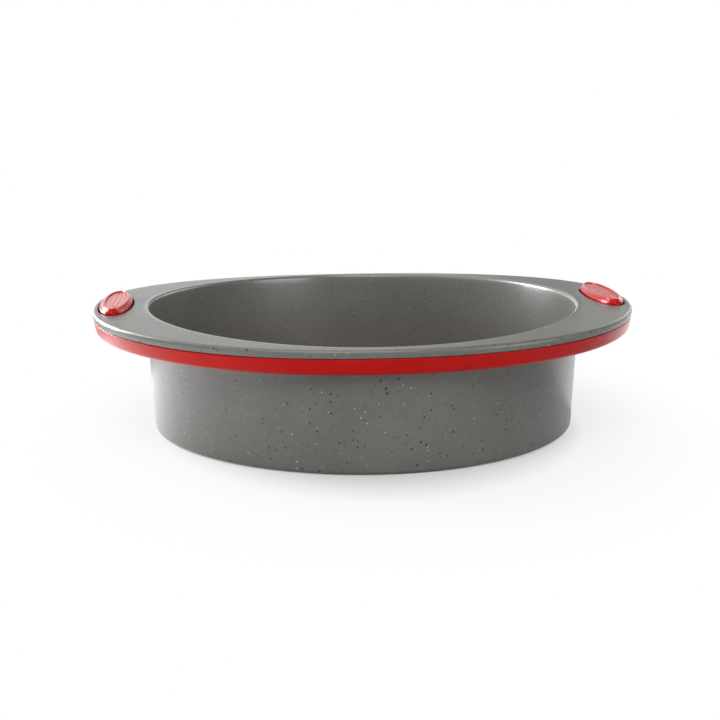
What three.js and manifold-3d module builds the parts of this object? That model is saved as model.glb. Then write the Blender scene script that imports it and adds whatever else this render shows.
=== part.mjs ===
// Round silicone cake pan: a soft grey bowl whose flange widens into two ears, a red band moulded under the
// flange, a steel hoop inside that band, and a red grip badge held in a window in each ear.
// Millimetres, +Z up. The origin is the middle of the base's underside, and the ears lie along X.

import * as THREE from 'three';
import { mergeVertices } from 'three/addons/utils/BufferGeometryUtils.js';
import Module from 'manifold-3d';

const wasm = await Module();
wasm.setup();

// Fit between pieces
const clearance = 0.3;

// Bowl
const panHeight = 61;
const baseRadius = 110.8;
const wallLean = 0.052;
const wallThickness = 1.8;
const floorThickness = 2.4;
const baseFillet = 2;
const lipFillet = 1.6;

// Flange: its edge leans in below a rounded top, and it droops outwards and climbs towards the ears
const flangeThickness = 3.9;
const edgeRound = 1;
const edgeLean = 0.15;
const outlinePower = 2.2;
const flangeDroop = 0.06;
const earRise = 4.3;

// Steel hoop and the band that holds it, which is shallower at the ears
const wireDiameter = 2.5;
const bandLand = 0.8;
const bandDepth = 8;
const bandRound = 2;
const bandTaper = 1;
const scoopStep = 0.6;

// Grip badges, their windows in the flange, and the pockets in the band that trap their feet
const windowLength = 64;
const windowWidth = 18;
const windowPower = 2.1;
const windowGap = 0.8;
const footThickness = 1.8;
const footTrap = 0.8;
const pocketFloor = 2.4;
const pocketLand = 0.6;
const earLand = 1.2;
const badgeShoulder = 0.8;
const badgeRise = 3.1;
const badgeBevel = 1.8;
const badgeBorder = 1.4;
const badgeRecess = 0.4;

// Facets of round shapes, and how near two corners of a seam lie
const panSteps = 72;
const badgeSteps = 40;
const wireSides = 8;
const filletSteps = 4;
const seamTolerance = 0.0003;

// Heights of the stack at the rim
const flangeUnder = panHeight - flangeThickness;
const bandTop = flangeUnder - clearance;
const bandBottom = bandTop - bandDepth;
const footTop = flangeUnder - clearance;
const footBottom = footTop - footThickness;
const pocketBottom = footBottom - clearance;
const grooveDepth = wireDiameter + 2 * clearance;
const grooveBottom = bandTop - grooveDepth;
const earScoop = bandDepth - (bandTop - pocketBottom) - pocketFloor;

// Radii of the stack at the rim, from the wall outwards
const outerWall = (z) => baseRadius + wallLean * z;
const edgeInset = (z) => edgeLean * Math.max(0, panHeight - edgeRound - z);
const bandInner = (z) => outerWall(z) + clearance;
const grooveInner = bandInner(bandTop) + bandLand;
const grooveOuter = grooveInner + wireDiameter + 2 * clearance;
const halfWidth = grooveOuter + bandLand + edgeInset(grooveBottom);
const windowStart = grooveOuter + earLand + clearance + footTrap;
const windowMargin = footTrap + clearance + pocketLand + edgeInset(pocketBottom);
const halfLength = windowStart + windowWidth + windowMargin;
const badgeCentre = windowStart + windowWidth / 2;
const railWidth = halfWidth - bandInner(bandTop) - scoopStep - clearance;

// The flange's oval edge: the distance from the middle at an angle
function edgeRadius(angle) {
  const along = Math.abs(Math.cos(angle) / halfLength) ** outlinePower;
  const across = Math.abs(Math.sin(angle) / halfWidth) ** outlinePower;
  return (along + across) ** (-1 / outlinePower);
}

// The rim's climb towards the ears, none at the base and all of it from the band up, and its droop outside the wall
function climb(x, y, z) {
  const share = THREE.MathUtils.clamp((z - baseFillet) / (bandBottom - baseFillet), 0, 1);
  const droop = flangeDroop * Math.max(0, Math.hypot(x, y) - outerWall(panHeight));
  return earRise * share * (x / halfLength) ** 2 - droop;
}

// A point of a section is tied to the wall, at a fixed radius, or to the edge, at an inset from the oval
// A lifted point rises by that much more at the middle of each ear
const wallPoint = (radius, z) => ({ radius, z, tied: 'wall' });
const edgePoint = (inset, z) => ({ radius: halfWidth - inset, z, tied: 'edge' });
const lifted = (point, lift) => ({ ...point, lift });

// Points of a quarter round in a section, from one angle to another in degrees
function roundPoints(radius, z, size, from, to, tie) {
  const points = [];
  for (let i = 0; i <= filletSteps; i++) {
    const angle = THREE.MathUtils.degToRad(from + ((to - from) * i) / filletSteps);
    points.push(tie(radius + size * Math.cos(angle), z + size * Math.sin(angle)));
  }
  return points;
}

// Turns a section about Z, then moves each corner: move(point, angle) gives its place as x, y and z
function turned(section, steps, move) {
  const profile = section.map((point) => new THREE.Vector2(point.radius, point.z));
  const geometry = new THREE.LatheGeometry(profile, steps);
  geometry.rotateX(Math.PI / 2);
  const places = geometry.attributes.position;
  for (let i = 0; i < places.count; i++) {
    const angle = Math.atan2(places.getY(i), places.getX(i));
    places.setXYZ(i, ...move(section[i % section.length], angle));
  }
  return geometry;
}

// A ring or bowl round the pan's axis, drawn out to the oval edge and raised at the ears
function ovalTurned(section) {
  return turned(section, panSteps, (point, angle) => {
    const reach = edgeRadius(angle) - halfWidth;
    const radius = point.radius + (point.tied === 'edge' ? reach : 0);
    const x = radius * Math.cos(angle);
    const y = radius * Math.sin(angle);
    const lift = ((point.lift ?? 0) * reach) / (halfLength - halfWidth);
    return [x, y, point.z + lift + climb(x, y, point.z)];
  });
}

// A pill round the middle of one ear's window; side is 1 or -1, and section radii run from the pill's middle line
function pillTurned(section, side) {
  const extraLength = (windowLength - windowWidth) / 2;
  const core = windowWidth / 2 - windowGap - badgeBevel - badgeBorder;
  const bulge = (value) => Math.sign(value) * Math.abs(value) ** (2 / windowPower);
  return turned(section, badgeSteps, (point, angle) => {
    const x = side * badgeCentre + point.radius * bulge(Math.cos(angle));
    const halfSpan = point.radius + extraLength * Math.min(1, point.radius / core);
    const y = halfSpan * bulge(Math.sin(angle));
    return [x, y, point.z + climb(x, y, point.z)];
  });
}

// Closed solid of a geometry, with its seams merged and its collapsed facets left out
function toSolid(geometry) {
  geometry.deleteAttribute('normal');
  geometry.deleteAttribute('uv');
  const merged = mergeVertices(geometry, seamTolerance);
  const corners = merged.index.array;
  const facets = [];
  for (let i = 0; i < corners.length; i += 3) {
    const facet = corners.slice(i, i + 3);
    if (new Set(facet).size === 3) facets.push(...facet);
  }
  const vertProperties = merged.attributes.position.array;
  return new wasm.Manifold(new wasm.Mesh({ numProp: 3, vertProperties, triVerts: new Uint32Array(facets) }));
}

function toMesh(name, solid, material) {
  const { vertProperties, triVerts } = solid.getMesh();
  const geometry = new THREE.BufferGeometry();
  geometry.setAttribute('position', new THREE.BufferAttribute(new Float32Array(vertProperties), 3));
  geometry.setIndex(new THREE.BufferAttribute(new Uint32Array(triVerts), 1));
  geometry.computeVertexNormals();
  const mesh = new THREE.Mesh(geometry, material);
  mesh.name = name;
  return mesh;
}

// A pill-shaped cutter between two heights
function pillCutter(radius, low, high, side) {
  const section = [wallPoint(0, low), wallPoint(radius, low), wallPoint(radius, high), wallPoint(0, high)];
  return toSolid(pillTurned(section, side));
}

// Bowl, lip and flange in one moulding, with a window through each ear
function panBody() {
  const innerWall = (z) => outerWall(z) - wallThickness;
  const innerFillet = Math.max(baseFillet - wallThickness, floorThickness);
  const lipBottom = panHeight - lipFillet;
  const section = [
    wallPoint(0, 0),
    ...roundPoints(outerWall(baseFillet) - baseFillet, baseFillet, baseFillet, -90, 0, wallPoint),
    wallPoint(outerWall(flangeUnder), flangeUnder),
    edgePoint(edgeInset(flangeUnder), flangeUnder),
    ...roundPoints(-edgeRound, panHeight - edgeRound, edgeRound, 0, 90, (r, z) => edgePoint(-r, z)),
    ...roundPoints(innerWall(lipBottom) + lipFillet, lipBottom, lipFillet, 90, 180, wallPoint),
    ...roundPoints(
      innerWall(floorThickness + innerFillet) - innerFillet,
      floorThickness + innerFillet,
      innerFillet, 0, -90, wallPoint),
    wallPoint(0, floorThickness),
  ];
  let solid = toSolid(ovalTurned(section));
  for (const side of [-1, 1]) {
    const window = pillCutter(windowWidth / 2, pocketBottom, panHeight + badgeRise, side);
    solid = solid.subtract(window);
  }
  const material = new THREE.MeshStandardMaterial({ color: 0x787874, roughness: 0.45, metalness: 0 });
  return toMesh('pan_body', solid, material);
}

// Band under the flange: a groove in its top for the hoop, a finger scoop under each ear, a pocket for each badge
function rimBand() {
  const foot = bandBottom + bandRound;
  const railPoint = (inset, z) => lifted(edgePoint(inset, z), bandTaper);
  const section = [
    lifted(wallPoint(bandInner(bandBottom), bandBottom), earScoop),
    lifted(edgePoint(railWidth + scoopStep, bandBottom), earScoop),
    railPoint(railWidth, bandBottom),
    ...roundPoints(-edgeInset(foot) - bandRound, foot, bandRound, -90, 0, (r, z) => railPoint(-r, z)),
    edgePoint(edgeInset(bandTop), bandTop),
    wallPoint(grooveOuter, bandTop),
    wallPoint(grooveOuter, grooveBottom),
    wallPoint(grooveInner, grooveBottom),
    wallPoint(grooveInner, bandTop),
    wallPoint(bandInner(bandTop), bandTop),
  ];
  let solid = toSolid(ovalTurned([...section, section[0]]));
  for (const side of [-1, 1]) {
    const pocket = pillCutter(windowWidth / 2 + footTrap + clearance, pocketBottom, panHeight, side);
    solid = solid.subtract(pocket);
  }
  const material = new THREE.MeshStandardMaterial({ color: 0xb41e1e, roughness: 0.4, metalness: 0 });
  return toMesh('rim_band', solid, material);
}

// Round steel wire, its ends welded into a hoop, lying in the band's groove
function rimHoop() {
  const wireRadius = wireDiameter / 2;
  const middle = (grooveInner + grooveOuter) / 2;
  const height = grooveBottom + clearance + wireRadius;
  const section = [];
  for (let i = 0; i <= wireSides; i++) {
    const angle = ((i % wireSides) * 2 * Math.PI) / wireSides;
    section.push(wallPoint(middle + wireRadius * Math.cos(angle), height + wireRadius * Math.sin(angle)));
  }
  const material = new THREE.MeshStandardMaterial({ color: 0xb9bcc0, roughness: 0.3, metalness: 1 });
  return toMesh('rim_hoop', toSolid(ovalTurned(section)), material);
}

// Badge: a wide foot trapped under the flange, a neck through the window, and a bevelled cap with a sunk field
function gripBadge(name, side) {
  const neck = windowWidth / 2 - windowGap;
  const cap = panHeight + badgeRise;
  const field = neck - badgeBevel - badgeBorder;
  const section = [
    wallPoint(0, footBottom),
    wallPoint(windowWidth / 2 + footTrap, footBottom),
    wallPoint(windowWidth / 2 + footTrap, footTop),
    wallPoint(neck, footTop),
    wallPoint(neck, panHeight + badgeShoulder),
    wallPoint(neck - badgeBevel, cap),
    wallPoint(field + badgeRecess, cap),
    wallPoint(field, cap - badgeRecess),
    wallPoint(0, cap - badgeRecess),
  ];
  const material = new THREE.MeshStandardMaterial({ color: 0xc02626, roughness: 0.35, metalness: 0 });
  return toMesh(name, toSolid(pillTurned(section, side)), material);
}

const cakePan = new THREE.Group();
cakePan.add(panBody());
cakePan.add(rimBand());
cakePan.add(rimHoop());
cakePan.add(gripBadge('left_grip_badge', -1));
cakePan.add(gripBadge('right_grip_badge', 1));

export default cakePan;
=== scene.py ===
import math

import bmesh
import bpy
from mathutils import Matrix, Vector


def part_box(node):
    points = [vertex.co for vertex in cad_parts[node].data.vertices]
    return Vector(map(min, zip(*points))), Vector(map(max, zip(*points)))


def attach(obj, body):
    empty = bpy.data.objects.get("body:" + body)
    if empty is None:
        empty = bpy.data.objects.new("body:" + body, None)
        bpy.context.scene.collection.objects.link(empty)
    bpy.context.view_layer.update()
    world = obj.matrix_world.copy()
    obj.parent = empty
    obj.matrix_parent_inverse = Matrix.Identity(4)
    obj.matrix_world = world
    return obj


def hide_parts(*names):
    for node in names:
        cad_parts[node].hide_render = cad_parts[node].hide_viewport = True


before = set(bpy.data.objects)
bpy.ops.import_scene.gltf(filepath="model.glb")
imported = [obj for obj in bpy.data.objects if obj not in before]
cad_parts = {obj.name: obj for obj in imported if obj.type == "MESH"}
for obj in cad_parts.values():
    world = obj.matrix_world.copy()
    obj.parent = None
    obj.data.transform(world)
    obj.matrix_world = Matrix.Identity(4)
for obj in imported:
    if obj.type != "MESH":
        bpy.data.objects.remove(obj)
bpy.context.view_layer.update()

# Pan body
# The bowl, its rounded lip and the flange that widens into two ears are one moulding of soft silicone.
# The rubber is mid grey with dark and pale specks stirred in, and it is pressed in a polished mould.
mm = 0.001
body_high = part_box("pan_body")[1]
half_length = body_high.x
half_width = body_high.y
pan_height = 61 * mm
base_radius = 110.8 * mm
wall_lean = 0.052
wall_thickness = 1.8 * mm
floor_thickness = 2.4 * mm
base_fillet = 2 * mm
inner_fillet = 2.4 * mm
lip_fillet = 1.6 * mm
flange_thickness = 3.9 * mm
flange_under = pan_height - flange_thickness
edge_round = 1.7 * mm
seam_round = 0.3 * mm
edge_lean = 0.15
outline_power = 2.2
flange_droop = 0.06
ear_rise = 4.3 * mm
rise_start = base_fillet
rise_end = 48.8 * mm
body_steps = 288
fillet_steps = 7
longest_run = 4 * mm
merge_gap = 0.001 * mm
smooth_angle = math.radians(35)


def outer_wall(height):
    """The radius of the wall's outside at a height."""
    return base_radius + wall_lean * height


def inner_wall(height):
    """The radius of the wall's inside at a height."""
    return outer_wall(height) - wall_thickness


def edge_inset(height):
    """How far the leaning edge of the flange lies inside its widest outline at a height."""
    return edge_lean * max(0, pan_height - edge_round - height)


def raised(x, y, height):
    """A point of the pan: the rim climbs towards the ears and droops outside the wall."""
    share = (height - rise_start) / (rise_end - rise_start)
    climb = ear_rise * min(1, max(0, share)) * (x / half_length) ** 2
    droop = flange_droop * max(0, math.hypot(x, y) - outer_wall(pan_height))
    return Vector((x, y, height + climb - droop))


def wall_spot(radius, height):
    """A spot of a section at a fixed radius, for any turn about the pan's axis."""
    return lambda turn: raised(radius * math.cos(turn), radius * math.sin(turn), height)


def edge_spot(inset, height):
    """A spot of a section at an inset from the flange's oval edge, for any turn about the pan's axis."""
    def spot(turn):
        along = abs(math.cos(turn) / half_length) ** outline_power
        across = abs(math.sin(turn) / half_width) ** outline_power
        reach = (along + across) ** (-1 / outline_power) - inset
        return raised(reach * math.cos(turn), reach * math.sin(turn), height)
    return spot


def between(first, second, share):
    """A spot at a share of the way from one spot to another."""
    return lambda turn: first(turn).lerp(second(turn), share)


def corner_spot(before, corner, after, size, share):
    """A spot on the round that takes off a section's corner; the pull is that of a quarter circle."""
    pull = 0.5523

    def spot(turn):
        tip = corner(turn)
        start = tip + (before(turn) - tip).normalized() * size
        end = tip + (after(turn) - tip).normalized() * size
        start_pull = start.lerp(tip, pull)
        end_pull = end.lerp(tip, pull)
        first = start.lerp(start_pull, share)
        middle = start_pull.lerp(end_pull, share)
        last = end_pull.lerp(end, share)
        return first.lerp(middle, share).lerp(middle.lerp(last, share), share)
    return spot


def soft_section(corners, closed=False):
    """The spots of a section from its corners, each a spot and the size of the round that takes it off."""
    spots = []
    for index, (corner, size) in enumerate(corners):
        if size == 0:
            spots.append(corner)
            continue
        before = corners[index - 1][0]
        after = corners[(index + 1) % len(corners)][0]
        for step in range(fillet_steps + 1):
            spots.append(corner_spot(before, corner, after, size, step / fillet_steps))
    if closed:
        spots.append(spots[0])
    filled = [spots[0]]
    for first, second in zip(spots, spots[1:]):
        count = math.ceil((first(0) - second(0)).length / longest_run)
        for step in range(1, count):
            filled.append(between(first, second, step / count))
        filled.append(second)
    return filled


def place_ring(piece, spot):
    """Moves each selected corner to the spot for its own turn."""
    mesh = bmesh.from_edit_mesh(piece.data)
    turn = mesh.verts.layers.float["turn"]
    for corner in mesh.verts:
        if corner.select:
            corner.co = spot(corner[turn])
    bmesh.update_edit_mesh(piece.data)


def model_rings(name, spots, steps):
    """Extrudes a ring of corners from spot to spot along a section, and leaves the piece in edit mode."""
    bpy.ops.object.select_all(action="DESELECT")
    bpy.ops.mesh.primitive_circle_add(vertices=steps, radius=1)
    piece = bpy.context.object
    piece.name = name
    piece.data.name = name
    bpy.ops.object.mode_set(mode="EDIT")
    mesh = bmesh.from_edit_mesh(piece.data)
    turn = mesh.verts.layers.float.new("turn")
    for corner in mesh.verts:
        corner[turn] = math.atan2(corner.co.y, corner.co.x)
    bmesh.update_edit_mesh(piece.data)
    place_ring(piece, spots[0])
    for spot in spots[1:]:
        bpy.ops.mesh.extrude_edges_move()
        place_ring(piece, spot)
    return piece


def close_mesh(piece):
    """Merges the seam of a closed section or fills the two ends of an open one, and smooths the faces."""
    bpy.ops.mesh.select_all(action="SELECT")
    bpy.ops.mesh.remove_doubles(threshold=merge_gap)
    bpy.ops.mesh.select_all(action="DESELECT")
    bpy.ops.mesh.select_non_manifold()
    bpy.ops.mesh.fill_holes(sides=0)
    bpy.ops.mesh.select_all(action="SELECT")
    bpy.ops.mesh.normals_make_consistent(inside=False)
    bpy.ops.object.mode_set(mode="OBJECT")
    piece.data.attributes.remove(piece.data.attributes["turn"])
    bpy.ops.object.shade_smooth_by_angle(angle=smooth_angle)


def cut_away(piece, cutter):
    """Takes the cutter's shape out of a piece and removes the cutter."""
    bpy.ops.object.select_all(action="DESELECT")
    bpy.context.view_layer.objects.active = piece
    piece.select_set(True)
    cut = piece.modifiers.new("cut", "BOOLEAN")
    cut.object = cutter
    cut.operation = "DIFFERENCE"
    cut.solver = "EXACT"
    bpy.ops.object.modifier_apply(modifier=cut.name)
    bpy.data.objects.remove(cutter)


floor_edge = inner_wall(floor_thickness)
pan_body = model_rings(
    "pan_body_moulding",
    soft_section([
        (wall_spot(base_radius / 2, 0), 0),
        (wall_spot(outer_wall(0), 0), base_fillet),
        (wall_spot(outer_wall(flange_under), flange_under), seam_round),
        (edge_spot(edge_inset(flange_under), flange_under), seam_round),
        (edge_spot(0, pan_height), edge_round),
        (wall_spot(inner_wall(pan_height), pan_height), lip_fillet),
        (wall_spot(floor_edge, floor_thickness), inner_fillet),
        (wall_spot(floor_edge / 2, floor_thickness), 0),
    ]),
    body_steps,
)
close_mesh(pan_body)

# Each ear has an oval window for its badge, with a softly rounded edge.
window_length = 64 * mm
window_width = 18 * mm
window_power = 2.1
window_round = 0.5 * mm
badge_low, badge_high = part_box("right_grip_badge")
badge_centre = (badge_low.x + badge_high.x) / 2
foot_bottom = 55 * mm
clearance = 0.3 * mm
cutter_lift = 0.03 * mm
cutter_top = badge_high.z
badge_steps = 96


def pill_spot(side, reach, height):
    """A spot of a section round the middle of one ear's window; reach is half the pill's width there."""
    span = reach + (window_length - window_width) / 2

    def bulge(value):
        return math.copysign(abs(value) ** (2 / window_power), value)

    def spot(turn):
        x = side * badge_centre + reach * bulge(math.cos(turn))
        return raised(x, span * bulge(math.sin(turn)), height)
    return spot


for side in (-1, 1):
    reach = window_width / 2
    window_cutter = model_rings(
        "window_cutter",
        soft_section([
            (pill_spot(side, reach, foot_bottom), 0),
            (pill_spot(side, reach, pan_height + cutter_lift), window_round),
            (pill_spot(side, reach + 2 * window_round, pan_height + cutter_lift), 0),
            (pill_spot(side, reach + 2 * window_round, cutter_top), 0),
        ]),
        badge_steps,
    )
    close_mesh(window_cutter)
    cut_away(pan_body, window_cutter)
bpy.ops.object.shade_smooth_by_angle(angle=smooth_angle)


def feed(tree, socket, value):
    """Sets a socket to a number or a colour, or links another socket to it."""
    if isinstance(value, (int, float, tuple)):
        socket.default_value = value
    else:
        tree.links.new(value, socket)


def object_place(tree):
    """The place on a piece in its own coordinates."""
    return tree.nodes.new("ShaderNodeTexCoord").outputs["Object"]


def add_math(tree, operation, first, second, clamp=False):
    """A Math node on two sockets or numbers; gives its result socket."""
    node = tree.nodes.new("ShaderNodeMath")
    node.operation = operation
    node.use_clamp = clamp
    feed(tree, node.inputs[0], first)
    feed(tree, node.inputs[1], second)
    return node.outputs[0]


def add_range(tree, value, low, high, new_low, new_high):
    """A Map Range node; its ends are sockets or numbers; gives its result socket."""
    node = tree.nodes.new("ShaderNodeMapRange")
    ends = {"Value": value, "From Min": low, "From Max": high, "To Min": new_low, "To Max": new_high}
    for name, end in ends.items():
        feed(tree, node.inputs[name], end)
    return node.outputs["Result"]


def add_noise(tree, place, scale, detail):
    """A noise texture on a place socket; gives its grey value socket."""
    node = tree.nodes.new("ShaderNodeTexNoise")
    node.inputs["Scale"].default_value = scale
    node.inputs["Detail"].default_value = detail
    tree.links.new(place, node.inputs["Vector"])
    return node.outputs["Fac"]


def add_mix(tree, share, first, second):
    """A colour Mix node; its two ends are colours or sockets; gives its result socket."""
    node = tree.nodes.new("ShaderNodeMix")
    node.data_type = "RGBA"
    tree.links.new(share, node.inputs["Factor"])
    colour_sockets = [socket for socket in node.inputs if socket.type == "RGBA"]
    feed(tree, colour_sockets[0], first)
    feed(tree, colour_sockets[1], second)
    return [socket for socket in node.outputs if socket.type == "RGBA"][0]


def new_group(name, inputs, outputs):
    """An empty shader node group with those number sockets, and its two end nodes."""
    group = bpy.data.node_groups.new(name, "ShaderNodeTree")
    for direction, sockets in (("INPUT", inputs), ("OUTPUT", outputs)):
        for socket in sockets:
            group.interface.new_socket(socket, in_out=direction, socket_type="NodeSocketFloat")
    return group, group.nodes.new("NodeGroupInput"), group.nodes.new("NodeGroupOutput")


def add_group(tree, group, **values):
    """A node group placed in a material with its own values."""
    node = tree.nodes.new("ShaderNodeGroup")
    node.node_tree = group
    for socket, value in values.items():
        node.inputs[socket].default_value = value
    return node


def make_speck_group():
    """Scattered specks: one in some of the cells of a 3-D cell pattern, ragged, each of its own size."""
    ragged_scale = 2200
    ragged_reach = 0.4 * mm
    smallest_size = 0.45
    edge_sharpness = 40
    group, given, result = new_group("specks", ["Scale", "Share", "Radius", "Shift"], ["Mask"])
    place = object_place(group)
    ragged = group.nodes.new("ShaderNodeTexNoise")
    ragged.inputs["Scale"].default_value = ragged_scale
    group.links.new(place, ragged.inputs["Vector"])
    nudge = group.nodes.new("ShaderNodeVectorMath")
    nudge.operation = "MULTIPLY_ADD"
    nudge.inputs[1].default_value = (ragged_reach,) * 3
    group.links.new(ragged.outputs["Color"], nudge.inputs[0])
    group.links.new(place, nudge.inputs[2])
    shifted = group.nodes.new("ShaderNodeVectorMath")
    shifted.operation = "ADD"
    group.links.new(nudge.outputs[0], shifted.inputs[0])
    group.links.new(given.outputs["Shift"], shifted.inputs[1])
    cells = group.nodes.new("ShaderNodeTexVoronoi")
    group.links.new(shifted.outputs[0], cells.inputs["Vector"])
    group.links.new(given.outputs["Scale"], cells.inputs["Scale"])
    chance = group.nodes.new("ShaderNodeSeparateColor")
    group.links.new(cells.outputs["Color"], chance.inputs[0])
    chosen = add_math(group, "LESS_THAN", chance.outputs[0], given.outputs["Share"])
    spread = add_range(group, chance.outputs[1], 0, 1, smallest_size, 1)
    size = add_math(group, "MULTIPLY", spread, given.outputs["Radius"])
    depth = add_math(group, "SUBTRACT", size, cells.outputs["Distance"])
    inside = add_math(group, "MULTIPLY", depth, edge_sharpness, clamp=True)
    group.links.new(add_math(group, "MULTIPLY", inside, chosen), result.inputs["Mask"])
    return group


def add_specks(tree, colour, speck_colour, strength, **kind):
    """Lays one kind of speck over a colour; gives the new colour socket."""
    specks = add_group(tree, speck_group, **kind)
    mask = add_math(tree, "MULTIPLY", specks.outputs["Mask"], strength)
    return add_mix(tree, mask, colour, speck_colour)


def make_skin_group():
    """Moulded silicone skin: slow patches of more and less gloss, and a fine grain for the bump."""
    patch_scale = 45
    patch_detail = 3
    patch_low = 0.15
    patch_high = 0.85
    grain_scale = 900
    grain_detail = 2
    group, given, result = new_group("silicone_skin", ["Smooth", "Rough"], ["Roughness", "Height"])
    place = object_place(group)
    patches = add_noise(group, place, patch_scale, patch_detail)
    smooth = given.outputs["Smooth"]
    rough = given.outputs["Rough"]
    gloss = add_range(group, patches, patch_low, patch_high, smooth, rough)
    group.links.new(gloss, result.inputs["Roughness"])
    group.links.new(add_noise(group, place, grain_scale, grain_detail), result.inputs["Height"])
    return group


def new_material(name, bump_depth):
    """A material with a Bump node on its shader's normal; gives the material, tree and both nodes."""
    bump_strength = 0.25
    material = bpy.data.materials.new(name)
    material.use_nodes = True
    tree = material.node_tree
    shader = tree.nodes["Principled BSDF"]
    bump = tree.nodes.new("ShaderNodeBump")
    bump.inputs["Strength"].default_value = bump_strength
    bump.inputs["Distance"].default_value = bump_depth
    tree.links.new(bump.outputs["Normal"], shader.inputs["Normal"])
    return material, tree, shader, bump


def add_bowl_masks(tree, place):
    """Masks of the bowl's inside, which ends in the middle of the wall, and of its lip, and the height."""
    axes = tree.nodes.new("ShaderNodeSeparateXYZ")
    tree.links.new(place, axes.inputs[0])
    height = axes.outputs["Z"]
    level = tree.nodes.new("ShaderNodeCombineXYZ")
    tree.links.new(axes.outputs["X"], level.inputs["X"])
    tree.links.new(axes.outputs["Y"], level.inputs["Y"])
    length = tree.nodes.new("ShaderNodeVectorMath")
    length.operation = "LENGTH"
    tree.links.new(level.outputs[0], length.inputs[0])
    reach = length.outputs["Value"]
    upright = add_math(tree, "SUBTRACT", reach, add_math(tree, "MULTIPLY", height, wall_lean))
    third = wall_thickness / 3
    bowl = add_range(tree, upright, inner_wall(0) + third, outer_wall(0) - third, 1, 0)
    top = add_range(tree, height, flange_under, pan_height - lip_fillet, 0, 1)
    lip = add_range(tree, reach, outer_wall(pan_height), outer_wall(pan_height) + lip_fillet, 1, 0)
    return bowl, add_math(tree, "MULTIPLY", top, lip), height


# Speckled grey silicone: a satin skin with faint mottling, dark and pale specks, and a finer dark dust.
# The inside of the bowl is glossier, with fainter specks and a painted warm light that grows towards the
# floor.
grey_colour = (0.1, 0.102, 0.093, 1)
pale_grey_colour = (0.15, 0.151, 0.14, 1)
dark_speck_colour = (0.032, 0.032, 0.033, 1)
pale_speck_colour = (0.4, 0.4, 0.38, 1)
painted_warm_light_colour = (0.108, 0.088, 0.07, 1)
painted_warm_light_bottom = 14 * mm
painted_warm_light_top = 46 * mm
painted_warm_light_thinnest = 0.5
painted_warm_light_mottle_low = 0.2
painted_warm_light_mottle_high = 0.8
cloud_scale = 30
cloud_detail = 4
fleck_scale = 700
fleck_detail = 2
mottle_low = 0.5
mottle_high = 1.5
inner_speck_strength = 0.55
dust_strength = 0.35
silicone_ior = 1.41
satin_smooth = 0.3
satin_rough = 0.38
satin_grain = 0.1 * mm
inner_polish = 0.7
lip_polish = 0.45
inner_coat = 0.85
coat_roughness = 0.35
speck_group = make_speck_group()
skin_group = make_skin_group()
speckled_silicone, tree, shader, bump = new_material("speckled_silicone", satin_grain)
place = object_place(tree)
bowl, lip, height = add_bowl_masks(tree, place)
clouds = add_noise(tree, place, cloud_scale, cloud_detail)
flecks = add_noise(tree, place, fleck_scale, fleck_detail)
mottle = add_range(tree, add_math(tree, "ADD", clouds, flecks), mottle_low, mottle_high, 0, 1)
colour = add_mix(tree, mottle, grey_colour, pale_grey_colour)
# Painted warm light: inside the bowl the colour turns warmer and lighter towards the floor, in uneven
# patches.
painted_warm_light = add_range(tree, height, painted_warm_light_bottom, painted_warm_light_top, 1, 0)
painted_warm_light_mottle = add_range(tree, mottle, painted_warm_light_mottle_low, painted_warm_light_mottle_high, painted_warm_light_thinnest, 1)
painted_warm_light = add_math(tree, "MULTIPLY", painted_warm_light, painted_warm_light_mottle)
colour = add_mix(tree, add_math(tree, "MULTIPLY", painted_warm_light, bowl), colour, painted_warm_light_colour)
speck_strength = add_range(tree, bowl, 0, 1, 1, inner_speck_strength)
colour = add_specks(
    tree, colour, dark_speck_colour, dust_strength, Scale=520, Share=0.6, Radius=0.24, Shift=3
)
colour = add_specks(
    tree, colour, dark_speck_colour, speck_strength, Scale=320, Share=0.6, Radius=0.22, Shift=0
)
colour = add_specks(
    tree, colour, pale_speck_colour, speck_strength, Scale=350, Share=0.4, Radius=0.15, Shift=1
)
tree.links.new(colour, shader.inputs["Base Color"])
skin = add_group(tree, skin_group, Smooth=satin_smooth, Rough=satin_rough)
polish = add_range(tree, bowl, 0, 1, 1, inner_polish)
polish = add_range(tree, lip, 0, 1, polish, lip_polish)
roughness = add_math(tree, "MULTIPLY", skin.outputs["Roughness"], polish)
tree.links.new(roughness, shader.inputs["Roughness"])
tree.links.new(skin.outputs["Height"], bump.inputs["Height"])
tree.links.new(add_math(tree, "MULTIPLY", bowl, inner_coat), shader.inputs["Coat Weight"])
shader.inputs["Coat Roughness"].default_value = coat_roughness
shader.inputs["IOR"].default_value = silicone_ior


def dress(piece, material, node):
    """Gives a piece its material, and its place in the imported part."""
    piece.data.materials.clear()
    piece.data.materials.append(material)
    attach(piece, "root")
    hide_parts(node)


dress(pan_body, speckled_silicone, "pan_body")

# Rim hoop
# A round steel wire bent into a ring and butt welded, which keeps the soft rim in shape.
# It lies in a groove in the top of the band and is closed in by the flange.
hoop_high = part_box("rim_hoop")[1]
wire_radius = 1.25 * mm
band_top = flange_under - clearance
groove_depth = 3.1 * mm
hoop_radius = hoop_high.y - wire_radius
hoop_height = band_top - groove_depth + clearance + wire_radius
hoop_sides = 16
weld_swell = 0.1
weld_spread = 0.02


def hoop_spot(angle):
    """A spot of the wire's section; the wire swells a little at its weld, at the back."""
    def spot(turn):
        gap = (turn - math.pi / 2) / weld_spread
        radius = wire_radius * (1 + weld_swell * math.exp(-gap * gap))
        across = hoop_radius + radius * math.cos(angle)
        return wall_spot(across, hoop_height + radius * math.sin(angle))(turn)
    return spot


hoop_spots = [hoop_spot(2 * math.pi * side / hoop_sides) for side in range(hoop_sides)]
rim_hoop = model_rings("rim_hoop_wire", hoop_spots + hoop_spots[:1], body_steps)
close_mesh(rim_hoop)

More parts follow.
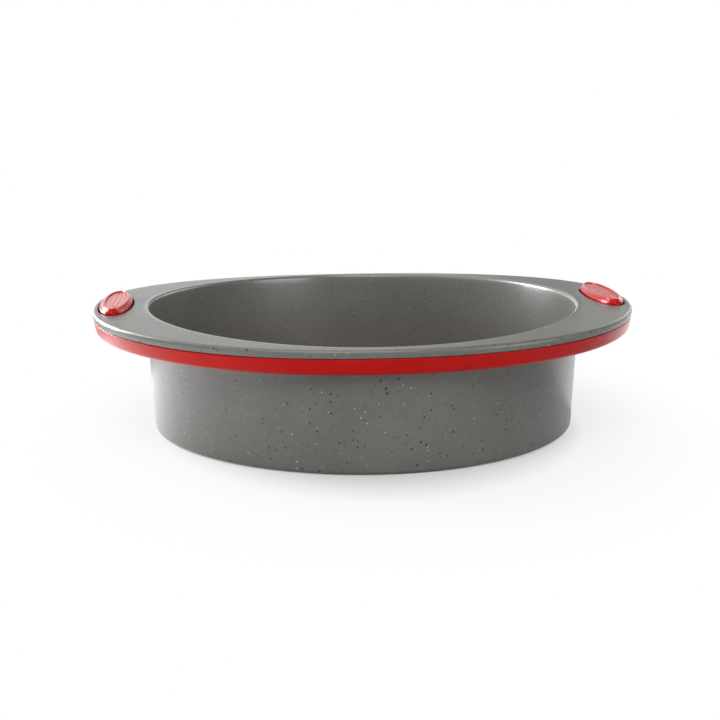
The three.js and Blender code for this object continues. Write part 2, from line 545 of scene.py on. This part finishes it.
# Drawn steel wire: bright, with fine scuffs.
steel_colour = (0.46, 0.47, 0.49, 1)
scuffed_colour = (0.6, 0.61, 0.62, 1)
scuff_scale = 700
scuff_detail = 3
scuff_low = 0.3
scuff_high = 0.7
scuff_depth = 0.02 * mm
steel_smooth = 0.22
steel_rough = 0.38
drawn_steel, tree, shader, bump = new_material("drawn_steel", scuff_depth)
scuffs = add_noise(tree, object_place(tree), scuff_scale, scuff_detail)
scuffed = add_range(tree, scuffs, scuff_low, scuff_high, 0, 1)
tree.links.new(add_mix(tree, scuffed, steel_colour, scuffed_colour), shader.inputs["Base Color"])
roughness = add_range(tree, scuffed, 0, 1, steel_smooth, steel_rough)
tree.links.new(roughness, shader.inputs["Roughness"])
tree.links.new(scuffs, bump.inputs["Height"])
shader.inputs["Metallic"].default_value = 1
dress(rim_hoop, drawn_steel, "rim_hoop")

# Rim band
# A ring of red silicone moulded to the underside of the flange; its outer face shows below the grey edge.
# Under each ear it is hollowed for the fingers, leaving a rail along the edge.
band_depth = 8 * mm
band_bottom = band_top - band_depth
band_round = 2 * mm
band_taper = 1 * mm
scoop_step = 0.6 * mm
scoop_depth = 3.5 * mm
groove_inner = hoop_radius - wire_radius - clearance
groove_outer = hoop_radius + wire_radius + clearance
groove_floor = band_top - groove_depth
band_inner = outer_wall(band_top) + clearance
rail_width = half_width - band_inner - scoop_step - clearance
foot_trap = 0.8 * mm


def lifted(spot, lift):
    """The same spot, lifted by that much at the middle of each ear and less on the way there."""
    def moved(turn):
        reach = edge_spot(0, band_bottom)(turn).xy.length - half_width
        return spot(turn) + Vector((0, 0, lift * reach / (half_length - half_width)))
    return moved


rim_band = model_rings(
    "rim_band_moulding",
    soft_section([
        (lifted(wall_spot(outer_wall(band_bottom) + clearance, band_bottom), scoop_depth), 0),
        (lifted(edge_spot(rail_width + scoop_step, band_bottom), scoop_depth), 0),
        (lifted(edge_spot(rail_width, band_bottom), band_taper), 0),
        (lifted(edge_spot(edge_inset(band_bottom), band_bottom), band_taper), band_round),
        (edge_spot(edge_inset(band_top), band_top), seam_round),
        (wall_spot(groove_outer, band_top), 0),
        (wall_spot(groove_outer, groove_floor), 0),
        (wall_spot(groove_inner, groove_floor), 0),
        (wall_spot(groove_inner, band_top), 0),
        (wall_spot(band_inner, band_top), 0),
    ], closed=True),
    body_steps,
)
close_mesh(rim_band)
for side in (-1, 1):
    reach = window_width / 2 + foot_trap + clearance
    pocket_cutter = model_rings(
        "pocket_cutter",
        [pill_spot(side, reach, foot_bottom - clearance), pill_spot(side, reach, cutter_top)],
        badge_steps,
    )
    close_mesh(pocket_cutter)
    cut_away(rim_band, pocket_cutter)
bpy.ops.object.shade_smooth_by_angle(angle=smooth_angle)

# Red silicone: one saturated colour all through, a little deeper in patches, with a satin skin.
red_colour = (0.44, 0.003, 0.003, 1)
deep_red_colour = (0.39, 0.002, 0.003, 1)
red_sheen = (1, 0.3, 0.25, 1)


def make_red_silicone(name, smooth, rough, grain):
    """Red silicone with a skin between those two roughnesses and a grain of that depth."""
    patch_scale = 40
    patch_detail = 4
    patch_low = 0.15
    patch_high = 0.85
    material, tree, shader, bump = new_material(name, grain)
    patches = add_noise(tree, object_place(tree), patch_scale, patch_detail)
    patches = add_range(tree, patches, patch_low, patch_high, 0, 1)
    tree.links.new(add_mix(tree, patches, red_colour, deep_red_colour), shader.inputs["Base Color"])
    skin = add_group(tree, skin_group, Smooth=smooth, Rough=rough)
    tree.links.new(skin.outputs["Roughness"], shader.inputs["Roughness"])
    tree.links.new(skin.outputs["Height"], bump.inputs["Height"])
    shader.inputs["IOR"].default_value = silicone_ior
    shader.inputs["Specular Tint"].default_value = red_sheen
    return material


band_silicone = make_red_silicone("band_silicone", satin_smooth, satin_rough, satin_grain)
dress(rim_band, band_silicone, "rim_band")

# Grip badges
# A raised red silicone pad in each ear, pushed through its window so that its wide foot is trapped below.
# The sides rise in two bevels to a flat border, and plain ribs run round the sunk field on top.
foot_top = flange_under - clearance
neck_gap = 0.8 * mm
shoulder_height = pan_height + 0.8 * mm
ledge_height = pan_height + 1.8 * mm
badge_top = pan_height + 3.1 * mm
lower_bevel = 0.5 * mm
ledge_width = 0.3 * mm
upper_bevel = 1.2 * mm
border_width = 1.1 * mm
field_sink = 0.8 * mm
foot_round = 0.3 * mm
shoulder_round = 0.4 * mm
bevel_round = 0.2 * mm
ledge_round = 0.1 * mm
border_round = 0.3 * mm
field_round = 0.25 * mm
rib_count = 2
rib_rise = 0.3 * mm
rib_rings = 24
field_steps = 144
foot_reach = window_width / 2 + foot_trap
neck_reach = window_width / 2 - neck_gap
bevel_reach = neck_reach - lower_bevel
ledge_reach = bevel_reach - ledge_width
border_reach = ledge_reach - upper_bevel
field_reach = border_reach - border_width
field_height = badge_top - field_sink


def rib_spot(side, share):
    """A spot of the ribbed field, at a share of the way from its middle to its border."""
    wave = 0.5 - 0.5 * math.cos(2 * math.pi * rib_count * share)
    return pill_spot(side, field_reach * share, field_height + rib_rise * wave)


# The badges are glossier than the band, and thumbs polish the top of each one.
badge_smooth = 0.2
badge_rough = 0.26
badge_grain = 0.01 * mm
polish_start = badge_high.z - 1.2 * mm
polish_end = badge_high.z - 0.5 * mm
top_polish = 0.5
top_roughness = 0.2
badge_silicone = make_red_silicone("badge_silicone", badge_smooth, badge_rough, badge_grain)
tree = badge_silicone.node_tree
shader = tree.nodes["Principled BSDF"]
axes = tree.nodes.new("ShaderNodeSeparateXYZ")
tree.links.new(object_place(tree), axes.inputs[0])
polish = add_range(tree, axes.outputs["Z"], polish_start, polish_end, 0, top_polish)
tree.links.new(polish, shader.inputs["Coat Weight"])
shader.inputs["Coat Roughness"].default_value = top_roughness
for name, side in (("left_grip_badge", -1), ("right_grip_badge", 1)):
    badge_spots = soft_section([
        (pill_spot(side, field_reach, foot_bottom), 0),
        (pill_spot(side, foot_reach, foot_bottom), foot_round),
        (pill_spot(side, foot_reach, foot_top), foot_round),
        (pill_spot(side, neck_reach, foot_top), 0),
        (pill_spot(side, neck_reach, shoulder_height), shoulder_round),
        (pill_spot(side, bevel_reach, ledge_height), bevel_round),
        (pill_spot(side, ledge_reach, ledge_height), ledge_round),
        (pill_spot(side, border_reach, badge_top), border_round),
        (pill_spot(side, field_reach, badge_top), field_round),
        (pill_spot(side, field_reach, field_height), 0),
    ])
    field_spots = [rib_spot(side, 1 - ring / rib_rings) for ring in range(1, rib_rings + 1)]
    badge = model_rings(name + "_moulding", badge_spots + field_spots, field_steps)
    close_mesh(badge)
    dress(badge, badge_silicone, name)

# Studio
# A white floor in a white surround. By the pan the floor is matt and holds the shadow, and further out
# it turns step by step into the white of the surround.
floor_size = 8
floor_drop = 0.1 * mm
floor_colour = (0.63, 0.63, 0.63, 1)
shade_shift = (-0.004, 0, 0)
shade_squeeze = (1.35, 1, 1)
contact_start = 0.108
contact_end = 0.152
fade_end = 0.245
near_white = 0.8
bpy.ops.object.select_all(action="DESELECT")
bpy.ops.mesh.primitive_plane_add(size=floor_size, location=(0, 0, -floor_drop))
studio_floor = bpy.context.object
studio_floor.name = "studio_floor"
bpy.ops.object.transform_apply(location=True)


def seen_rays(tree):
    """1 for camera, glossy and see-through rays, and 0 for the rest."""
    path = tree.nodes.new("ShaderNodeLightPath")
    seen = add_math(tree, "MAXIMUM", path.outputs["Is Camera Ray"], path.outputs["Is Glossy Ray"])
    return add_math(tree, "MAXIMUM", seen, path.outputs["Is Transmission Ray"])


floor_material = bpy.data.materials.new("white_floor")
floor_material.use_nodes = True
tree = floor_material.node_tree
tree.nodes.remove(tree.nodes["Principled BSDF"])
matt = tree.nodes.new("ShaderNodeBsdfDiffuse")
matt.inputs["Color"].default_value = floor_colour
white = tree.nodes.new("ShaderNodeEmission")
blend = tree.nodes.new("ShaderNodeMixShader")
shade = tree.nodes.new("ShaderNodeMapping")
shade.inputs["Location"].default_value = shade_shift
shade.inputs["Scale"].default_value = shade_squeeze
tree.links.new(object_place(tree), shade.inputs["Vector"])
length = tree.nodes.new("ShaderNodeVectorMath")
length.operation = "LENGTH"
tree.links.new(shade.outputs[0], length.inputs[0])
near = add_range(tree, length.outputs["Value"], contact_start, contact_end, 0, near_white)
far = add_range(tree, length.outputs["Value"], contact_end, fade_end, near, 1)
tree.links.new(add_math(tree, "MULTIPLY", far, seen_rays(tree)), blend.inputs[0])
tree.links.new(matt.outputs[0], blend.inputs[1])
tree.links.new(white.outputs[0], blend.inputs[2])
tree.links.new(blend.outputs[0], tree.nodes["Material Output"].inputs["Surface"])
studio_floor.data.materials.append(floor_material)

# The surround is white to the camera, dimmer as a light, and darker on the right in reflections.
surround_colour = (1, 1, 1, 1)
low_light = 0.2
high_light = 0.6
left_gloss = 1
right_gloss = 0.28
gloss_turn_start = 0.05
gloss_turn_end = 0.22
surround = bpy.data.worlds.new("white_surround")
surround.use_nodes = True
tree = surround.node_tree
toward = tree.nodes.new("ShaderNodeSeparateXYZ")
tree.links.new(tree.nodes.new("ShaderNodeTexCoord").outputs["Generated"], toward.inputs[0])
path = tree.nodes.new("ShaderNodeLightPath")
glossy = add_range(tree, toward.outputs["X"], gloss_turn_start, gloss_turn_end, left_gloss, right_gloss)
soft = add_range(tree, toward.outputs["Z"], 0, 1, low_light, high_light)
strength = add_range(tree, path.outputs["Is Glossy Ray"], 0, 1, soft, glossy)
strength = add_range(tree, path.outputs["Is Camera Ray"], 0, 1, strength, 1)
tree.links.new(strength, tree.nodes["Background"].inputs["Strength"])
tree.nodes["Background"].inputs["Color"].default_value = surround_colour
bpy.context.scene.world = surround


def add_softbox(name, place, target, size, power):
    """A square soft lamp that faces the target."""
    bpy.ops.object.light_add(type="AREA", location=place)
    lamp = bpy.context.object
    lamp.name = name
    lamp.data.shape = "SQUARE"
    lamp.data.size = size
    lamp.data.energy = power
    lamp.rotation_euler = (Vector(target) - Vector(place)).to_track_quat("-Z", "Y").to_euler()
    return lamp


def add_floor_panel(name, x, y, size, power):
    """A lamp that lies on the floor and faces up."""
    return add_softbox(name, (x, y, panel_height), (x, y, 1), size, power)


# Lamps at the front, back left and back right light the pan. The others show only in its gloss.
rim_middle = (0, 0, pan_height)
panel_height = 0.5 * mm
add_softbox("front_softbox", (-0.1, -0.68, 0.9), rim_middle, size=0.7, power=8.6)
add_softbox("key_softbox", (-0.69, 0.48, 0.5), rim_middle, size=0.5, power=9)
add_softbox("fill_softbox", (0.6, 0.5, 0.35), rim_middle, size=0.5, power=1.5)
left_glow = add_softbox("left_glow", (-0.74, 0.55, 0.21), rim_middle, size=0.36, power=12)
left_panel = add_floor_panel("left_panel", -0.2, -0.07, size=0.36, power=1.2)
right_panel = add_floor_panel("right_panel", 0.22, 0.15, size=0.3, power=0.24)
back_panel = add_softbox("back_panel", (0.6, 0.9, 0.2), rim_middle, size=0.5, power=0.45)
window_strip = add_softbox("window_strip", (0.65, -0.63, 0.16), rim_middle, size=0.55, power=5.6)
for lamp in (left_glow, left_panel, right_panel, back_panel, window_strip):
    lamp.visible_diffuse = False
    lamp.visible_camera = False

# The left panel fades out towards its right end, so that no edge of it shows in the wall.
panel_fade_start = 0.08
panel_fade_end = 0.55
left_panel.data.use_nodes = True
tree = left_panel.data.node_tree
across = tree.nodes.new("ShaderNodeSeparateXYZ")
tree.links.new(tree.nodes.new("ShaderNodeNewGeometry").outputs["Parametric"], across.inputs[0])
fade = add_range(tree, across.outputs["X"], panel_fade_start, panel_fade_end, 0, 1)
tree.links.new(fade, tree.nodes["Emission"].inputs["Strength"])

# The camera stands a little to the left and looks down at the rim from the front.
camera_target = Vector((-1.4 * mm, 0, 31.2 * mm))
camera_distance = 0.737
camera_side = math.radians(-4.9)
camera_rise = math.radians(11.9)
camera_roll = -0.0056
camera_lens = 68.75
bpy.ops.object.camera_add()
camera = bpy.context.object
camera.data.lens = camera_lens
back = Vector((
    math.sin(camera_side) * math.cos(camera_rise),
    -math.cos(camera_side) * math.cos(camera_rise),
    math.sin(camera_rise),
))
camera.location = camera_target + back * camera_distance
camera.rotation_euler = (-back).to_track_quat("-Z", "Y").to_euler()
camera.rotation_euler.rotate_axis("Z", camera_roll)
bpy.context.scene.camera = camera
bpy.context.scene.view_settings.view_transform = "Standard"
